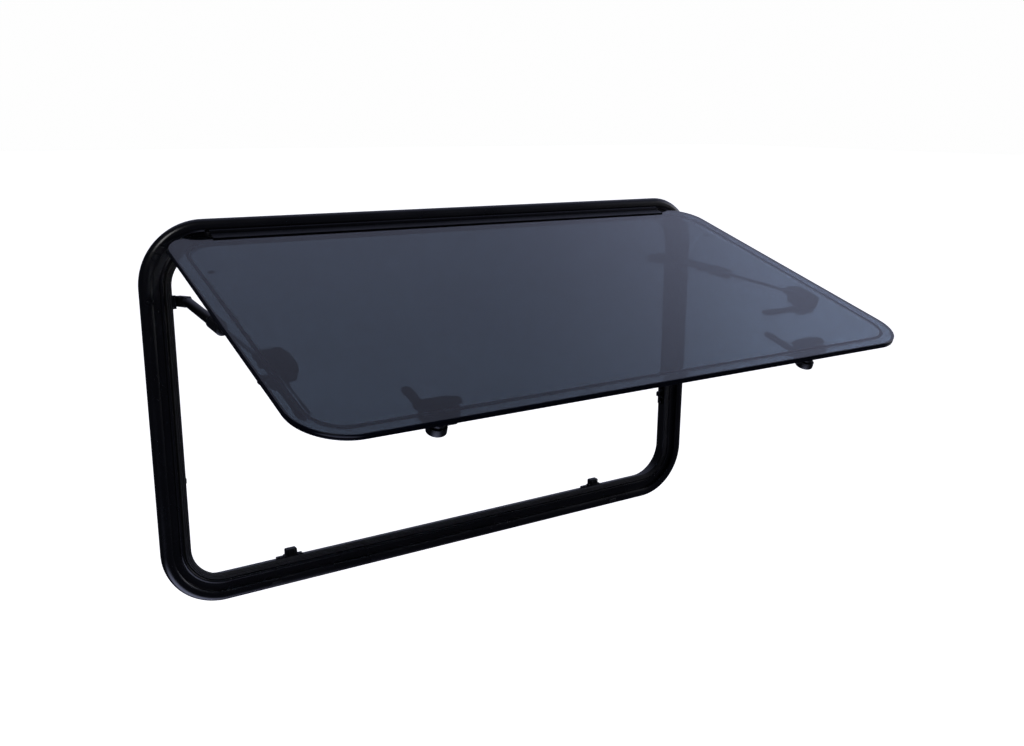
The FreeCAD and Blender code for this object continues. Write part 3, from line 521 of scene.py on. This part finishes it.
def loft(work, levels, slots):
    """Skin over rounded-rectangle levels (inset, y, stepped), capped at both ends."""
    rings = []
    for inset, y, stepped in levels:
        ring = []
        for centre, direction, radius in sheet_stations(inset, stepped):
            place = (centre[0] + direction[0] * radius, y, centre[1] + direction[1] * radius)
            ring.append(work.verts.new(place))
        rings.append(ring)
    count = len(rings[0])
    for ring, after, slot in zip(rings, rings[1:], slots):
        for k in range(count):
            face = work.faces.new((ring[k], ring[(k + 1) % count], after[(k + 1) % count], after[k]))
            face.material_index = slot
    work.faces.new(rings[0])
    work.faces.new(list(reversed(rings[-1])))


def make_outer_sheet(glass, edge):
    """Flat smoked sheet with a flame-polished edge."""
    front, back = PANE_FRONT, PANE_BACK
    rim = [(2.5, front), (0.75, front), (0.35, front + 0.12), (0.1, front + 0.4), (0.0, front + 0.8),
           (0.0, back - 0.6), (0.1, back - 0.25), (0.3, back - 0.06), (0.6, back), (2.5, back)]
    levels = [(inset, y, False) for inset, y in rim]
    work = bmesh.new()
    loft(work, levels, (0, 1, 1, 1, 1, 1, 1, 1, 1))
    return finish_mesh("smoked_sheet", work, [glass, edge], "sash", ["outer_pane"], 50.0)


def make_inner_sheet(glass, edge):
    """Thermoformed clear sheet: bonded rim, drawn step and raised panel."""
    s = STEP_INSET
    front = [(s + 6.0, PANEL_FRONT, True), (s + 4.4, PANEL_FRONT - 0.03, True),
             (s + 3.4, PANEL_FRONT - 0.35, True), (s + 2.8, PANEL_FRONT - 1.0, True),
             (s + 0.6, INNER_FRONT + 0.7, True), (s - 0.1, INNER_FRONT + 0.15, True),
             (s - 1.2, INNER_FRONT, True), (2.0, INNER_FRONT, False), (0.4, INNER_FRONT, False),
             (0.0, INNER_FRONT + 0.5, False)]
    back = [(0.0, INNER_BACK - 0.5, False), (0.4, INNER_BACK, False), (2.0, INNER_BACK, False),
            (s - 2.0, INNER_BACK, True), (s - 0.9, INNER_BACK + 0.3, True), (s + 1.6, PANEL_BACK - 0.8, True),
            (s + 2.4, PANEL_BACK - 0.12, True), (s + 3.6, PANEL_BACK, True), (s + 6.0, PANEL_BACK, True)]
    work = bmesh.new()
    slots = [0] * 7 + [1] * 5 + [0] * 6
    loft(work, front + back, slots)
    return finish_mesh("formed_sheet", work, [glass, edge], "sash", ["inner_pane"], 50.0)


def shifted(work, start, matrix):
    """Moves the vertices added since start."""
    work.verts.ensure_lookup_table()
    bmesh.ops.transform(work, matrix=matrix, verts=work.verts[start:])


def turned(angle):
    return Matrix.Rotation(math.radians(angle), 4, "Y")


def rounded(points, steps=5):
    return fillet_profile(points, steps)


def lever_outline():
    """Lever seen from outside, hub at the origin, tip towards +Z."""
    tip_z = LEVER_LENGTH - LEVER_HALF
    turns = [math.pi * k / 16 for k in range(17)]
    tip = [(LEVER_HALF * math.cos(t), tip_z + LEVER_HALF * math.sin(t)) for t in turns]
    right = [(LEVER_HALF, -2.0), (6.3, 14.0), (5.2, 24.0), (5.0, 40.0), (5.6, 56.0), (6.3, 66.0)]
    left = [(-x, z) for x, z in reversed(right)]
    return right + tip + left


def make_handle(name, nylon):
    x, z, turn, rest = LATCHES[name]
    spin = rest if x < 0 else -rest
    work = bmesh.new()
    prism(work, disc_outline(HUB_RADIUS), HUB_LOW, HUB_TOP, 0.4, 2.4, 6)
    prism(work, disc_outline(HUB_RADIUS - 3.2), HUB_TOP - 1.0, HUB_TOP + 0.2, 0.0, 0.4, 3)
    prism(work, lever_outline(), LEVER_LOW, LEVER_HIGH, 0.6, 1.8, 5)
    rib = rounded([(-3.4, 14.0, 1.0), (3.4, 14.0, 1.0), (2.4, 52.0, 2.0), (-2.4, 52.0, 2.0)])
    prism(work, rib, LEVER_HIGH - 1.0, LEVER_HIGH + 0.7, 0.0, 0.6, 3)
    for k in range(5):
        low = 56.5 + 3.0 * k
        bar = rounded([(-4.4, low, 0.5), (4.4, low, 0.5), (4.4, low + 1.4, 0.5), (-4.4, low + 1.4, 0.5)])
        prism(work, bar, LEVER_HIGH - 0.6, LEVER_HIGH + 0.45, 0.0, 0.4, 3)
    place = Matrix.Translation((x, 0, z)) @ turned(turn) @ turned(spin)
    bmesh.ops.transform(work, matrix=place, verts=work.verts)
    return finish_mesh("handle_" + name, work, [nylon], "latch_" + name, ["latch_handle_" + name])


def make_cam(name, nylon):
    x, z, turn, rest = LATCHES[name]
    spin = rest if x < 0 else -rest
    work = bmesh.new()
    prism(work, disc_outline(9.0), TONGUE_LOW, HUB_LOW, 0.3, 0.3, 3)
    half, length = TONGUE_HALF, TONGUE_LENGTH
    arm = rounded([(0.0, -half, 0.0), (length, -half, 3.0), (length, half, 3.0), (0.0, half, 0.0)])
    start = len(work.verts)
    prism(work, arm, TONGUE_LOW, HUB_LOW, 0.5, 0.5, 3)
    ramp = rounded([(length - 9.0, -half + 0.8, 0.6), (length - 1.2, -half + 0.8, 1.6),
                    (length - 1.2, half - 0.8, 1.6), (length - 9.0, half - 0.8, 0.6)])
    prism(work, ramp, HUB_LOW - 0.6, HUB_LOW + 0.5, 0.0, 0.4, 3)
    shifted(work, start, turned(0 if x < 0 else 180))
    place = Matrix.Translation((x, 0, z)) @ turned(turn) @ turned(spin)
    bmesh.ops.transform(work, matrix=place, verts=work.verts)
    return finish_mesh("cam_" + name, work, [nylon], "latch_" + name, ["latch_tongue_" + name])


def mirrored_outline(points):
    return [(-x, z, r) for x, z, r in reversed(points)]


def slope_off(work):
    """Sloped face along the block's side nearest the frame."""
    point = Vector((0, BASE_TOP - BASE_SLOPE, -BASE_DEPTH))
    every = work.verts[:] + work.edges[:] + work.faces[:]
    outward = Vector((0, 1, -1))
    cut = bmesh.ops.bisect_plane(work, geom=every, plane_co=point, plane_no=outward, clear_outer=True)
    rim = [e for e in cut["geom_cut"] if isinstance(e, bmesh.types.BMEdge)]
    bmesh.ops.holes_fill(work, edges=rim, sides=0)


def make_base(name, nylon):
    x, z, turn, rest = LATCHES[name]
    side = name.startswith("side")
    half, depth = BASE_HALF, BASE_DEPTH
    block = [(-half, -depth, 7.0), (half, -depth, 7.0), (half, depth, 7.0), (-half, depth, 7.0)]
    if side:
        block = [(-half, -depth, 7.0), (8.4, -depth, 3.0), (8.4, -1.5, 0.5), (half, -1.5, 0.6),
                 (half, depth, 7.0), (-half, depth, 7.0)]
        if x < 0:
            block = mirrored_outline(block)
    foot = [(-28.0, -1.0, 6.0), (28.0, -1.0, 6.0), (28.0, 12.0, 6.0), (-28.0, 12.0, 6.0)]
    work = bmesh.new()
    prism(work, rounded(block, 7), PANEL_BACK, BASE_TOP, 0.0, 1.2, 5)
    slope_off(work)
    prism(work, rounded(foot, 7), PANEL_BACK, -0.2, 0.0, 0.7, 4)
    prism(work, disc_outline(6.6), BASE_TOP - 1.0, BASE_TOP + 0.25, 0.0, 0.25, 2)
    for end in (-1, 1):
        web = [(-1.0, 3.0, 0.3), (1.0, 3.0, 0.3), (1.0, 8.0, 0.3), (-1.0, 8.0, 0.3)]
        start = len(work.verts)
        prism(work, rounded(web), -0.6, 4.0, 0.0, 0.5, 3)
        shifted(work, start, Matrix.Translation((end * (half + 0.4), 0, 0)))
    bmesh.ops.transform(work, matrix=Matrix.Translation((x, 0, z)) @ turned(turn), verts=work.verts)
    if side:
        add_ears(work, -1 if x < 0 else 1)
    return finish_mesh("base_" + name, work, [nylon], "sash", ["latch_base_" + name])


def add_ears(work, hand):
    """Two lugs on a foot that carry the stay's pin."""
    low_z = STAY_PIN.z - 7.0
    outline = [(low_z, PANEL_BACK + 0.2), (low_z + 14.0, PANEL_BACK + 0.2)]
    outline += [(STAY_PIN.z + 7.0 * math.cos(t), STAY_PIN.y + 7.0 * math.sin(t))
                for t in [math.pi * k / 20 for k in range(21)]]
    for start_x in (405.0, 415.4):
        start = len(work.verts)
        prism(work, outline, 0.0, 3.6, 0.5, 0.5, 3)
        turn = Matrix(((0, 1, 0, start_x), (0, 0, 1, 0), (1, 0, 0, 0), (0, 0, 0, 1)))
        shifted(work, start, Matrix.Scale(hand, 4, (1, 0, 0)) @ turn)
    plate = rounded([(405.0, low_z - 5.0, 1.0), (419.0, low_z - 5.0, 2.0), (419.0, low_z + 16.0, 2.0),
                     (405.0, low_z + 16.0, 1.0)])
    start = len(work.verts)
    prism(work, plate, PANEL_BACK, PANEL_BACK + 2.4, 0.0, 0.6, 3)
    shifted(work, start, Matrix.Scale(hand, 4, (1, 0, 0)))


def make_striker(name, nylon):
    x, z, turn, length, height = STRIKERS[name]
    half, step = length / 2, length / 2 + 2.5
    outline = [(-20.0, 0.0, 0.2), (20.0, 0.0, 0.2), (20.0, 4.0, 0.8), (step, 4.0, 0.8), (step, 8.0, 0.6),
               (half, 8.0, 0.6), (half, height, 2.0), (-half, height, 2.0), (-half, 8.0, 0.6),
               (-step, 8.0, 0.6), (-step, 4.0, 0.8), (-20.0, 4.0, 0.8)]
    plate = [(-20.0, 0.0, 0.2), (20.0, 0.0, 0.2), (20.0, 4.0, 0.8), (-20.0, 4.0, 0.8)]
    work = bmesh.new()
    prism(work, rounded(outline), 5.3, 14.0, 0.6, 0.6, 4)
    prism(work, rounded(plate), 5.3, 19.5, 0.6, 0.6, 4)
    top = height - 1.4
    for offset in (-half * 0.45, half * 0.45):
        groove = rounded([(offset - 0.6, 9.0, 0.3), (offset + 0.6, 9.0, 0.3), (offset + 0.6, top, 0.3),
                          (offset - 0.6, top, 0.3)])
        prism(work, groove, 4.7, 5.6, 0.4, 0.0, 3)
    bmesh.ops.transform(work, matrix=Matrix.Translation((x, 0, z)) @ turned(turn), verts=work.verts)
    return finish_mesh(name + "_moulded", work, [nylon], "frame", [name])


def lathe(work, start, along, profile, count=40):
    """Turned ring; the closed profile is (distance along, radius)."""
    side = along.cross(Vector((1, 0, 0))).normalized()
    over = along.cross(side)
    rings = []
    for reach, radius in profile:
        middle = start + along * reach
        ring = []
        for k in range(count):
            t = math.tau * k / count
            place = middle + side * (radius * math.cos(t)) + over * (radius * math.sin(t))
            ring.append(work.verts.new(place))
        rings.append(ring)
    for ring, after in zip(rings, rings[1:] + rings[:1]):
        for k in range(count):
            work.faces.new((ring[k], ring[(k + 1) % count], after[(k + 1) % count], after[k]))


def make_collar(side, nylon):
    """Friction collar with grip grooves at the tube's open end."""
    hand = -1 if side == "left" else 1
    pin = SWING @ (STAY_PIN * MM) / MM
    along = (pin - ELBOW).normalized()
    start, tube_end, end = 101.0, 138.0, 141.0
    seat, bore = 6.55, 2.7
    profile = [(start, seat), (start, 7.4), (start + 0.4, 8.0), (start + 1.2, 8.4), (start + 3.0, 8.5)]
    reach = start + 6.0
    while reach < end - 8.0:
        profile += [(reach, 8.5), (reach + 0.5, 8.1), (reach + 1.1, 7.9), (reach + 1.7, 8.1)]
        profile += [(reach + 2.2, 8.5)]
        reach += 4.0
    profile += [(end - 3.0, 8.5), (end - 1.4, 8.2), (end - 0.4, 7.4), (end, 6.4), (end, bore)]
    profile += [(tube_end, bore), (tube_end, seat)]
    work = bmesh.new()
    lathe(work, ELBOW, along, profile)
    bmesh.ops.transform(work, matrix=Matrix.Scale(hand, 4, (1, 0, 0)), verts=work.verts)
    return finish_mesh("collar_" + side, work, [nylon], "tube_" + side, ["stay_collar_" + side], 50.0)


def make_pieces(kit):
    make_frame(kit["coat"])
    make_seal(kit["rubber"])
    make_outer_sheet(kit["smoked"], kit["edge"])
    make_inner_sheet(kit["clear"], kit["edge"])
    for name in LATCHES:
        make_handle(name, kit["nylon"])
        make_cam(name, kit["nylon"])
        make_base(name, kit["nylon"])
    for name in STRIKERS:
        make_striker(name, kit["nylon"])
    for side in ("left", "right"):
        make_collar(side, kit["nylon"])


# ---- light --------------------------------------------------------------
# direction, falloff start and end, strength outside and inside
PATCHES = (
    ((0.5, 0.6, 0.62), 0.55, 0.88, 0.05, 0.4),
    ((0.9, 0.35, 0.25), 0.82, 1.0, 0.0, 0.36),
    ((-0.26, -0.33, -0.91), 0.8, 0.98, 0.0, 3.6),
    ((0.93, -0.2, 0.3), 0.88, 0.98, 0.0, 1.0))
SKY_TINT = (0.62, 0.66, 0.95, 1.0)
WHITE = (1.0, 1.0, 1.0, 1.0)
GROUND_LEVEL = 0.99
# the backdrop behind the sash is brighter at the right
BACKDROP = ((0.836, -0.548, 0.0), 0.12, 0.33, 0.75, 2.4)


def soft_patch(tree, direction, place, low, high, dark, bright):
    """Strength that rises smoothly towards one side of the sky."""
    along = tree.nodes.new("ShaderNodeVectorMath")
    along.operation = "DOT_PRODUCT"
    along.inputs[1].default_value = place
    tree.links.new(direction, along.inputs[0])
    ramp = tree.nodes.new("ShaderNodeMapRange")
    ramp.interpolation_type = "SMOOTHSTEP"
    for index, number in enumerate((low, high, dark, bright), start=1):
        ramp.inputs[index].default_value = number
    tree.links.new(along.outputs["Value"], ramp.inputs[0])
    return ramp


def make_world():
    world = bpy.data.worlds.new("studio")
    bpy.context.scene.world = world
    world.use_nodes = True
    tree = world.node_tree
    tree.nodes.clear()
    out = tree.nodes.new("ShaderNodeOutputWorld")
    path = tree.nodes.new("ShaderNodeLightPath")
    seen = tree.nodes.new("ShaderNodeMath")
    seen.operation = "MAXIMUM"
    tree.links.new(path.outputs["Is Camera Ray"], seen.inputs[0])
    tree.links.new(path.outputs["Is Transmission Ray"], seen.inputs[1])
    direction = tree.nodes.new("ShaderNodeTexCoord")
    glow = None
    for patch in PATCHES:
        ramp = soft_patch(tree, direction.outputs["Generated"], *patch)
        if glow is None:
            glow = ramp.outputs[0]
            continue
        total = tree.nodes.new("ShaderNodeMath")
        tree.links.new(glow, total.inputs[0])
        tree.links.new(ramp.outputs[0], total.inputs[1])
        glow = total.outputs[0]
    soft = tree.nodes.new("ShaderNodeBackground")
    soft.inputs["Color"].default_value = SKY_TINT
    tree.links.new(glow, soft.inputs["Strength"])
    white = tree.nodes.new("ShaderNodeBackground")
    white.inputs["Color"].default_value = WHITE
    backdrop = soft_patch(tree, direction.outputs["Generated"], *BACKDROP)
    level = tree.nodes.new("ShaderNodeMix")
    tree.links.new(path.outputs["Is Camera Ray"], level.inputs[0])
    tree.links.new(backdrop.outputs[0], level.inputs[2])
    level.inputs[3].default_value = GROUND_LEVEL
    tree.links.new(level.outputs[0], white.inputs["Strength"])
    both = tree.nodes.new("ShaderNodeMixShader")
    tree.links.new(seen.outputs[0], both.inputs[0])
    tree.links.new(soft.outputs[0], both.inputs[1])
    tree.links.new(white.outputs[0], both.inputs[2])
    tree.links.new(both.outputs[0], out.inputs["Surface"])


def make_floor():
    low = min(corner[2] for corner in cad_box) - FLOOR_DROP
    mesh = bpy.data.meshes.new("floor")
    half = FLOOR_HALF
    corners = [(-half, -half, low), (half, -half, low), (half, half, low), (-half, half, low)]
    mesh.from_pydata(corners, [], [(0, 1, 2, 3)])
    floor = bpy.data.objects.new("floor", mesh)
    bpy.context.scene.collection.objects.link(floor)
    s = Shader("floor_pale", (0.9, 0.9, 0.9), 0.9)
    s.surface.inputs["Emission Color"].default_value = WHITE
    s.surface.inputs["Emission Strength"].default_value = FLOOR_GLOW
    mesh.materials.append(s.material)
    floor.visible_glossy = False
    floor.visible_diffuse = False
    floor.visible_transmission = False


def area_light(name, place, target, size, power):
    data = bpy.data.lights.new(name, "AREA")
    data.shape = "RECTANGLE"
    data.size, data.size_y = size
    data.energy = power
    lamp = bpy.data.objects.new(name, data)
    lamp.location = place
    lamp.rotation_euler = (Vector(target) - Vector(place)).to_track_quat("-Z", "Y").to_euler()
    bpy.context.scene.collection.objects.link(lamp)


def make_lights():
    area_light("key", (-1.6, -2.2, 2.4), (0, 0, 0), (1.4, 1.0), 26.0)
    area_light("right", (2.6, -0.9, 0.5), (0, 0, 0), (1.0, 1.6), 10.0)


bpy.context.scene.view_settings.view_transform = "Standard"
make_camera()
kit = make_kit()
dress_nodes(kit)
make_pieces(kit)
make_world()
make_floor()
make_lights()
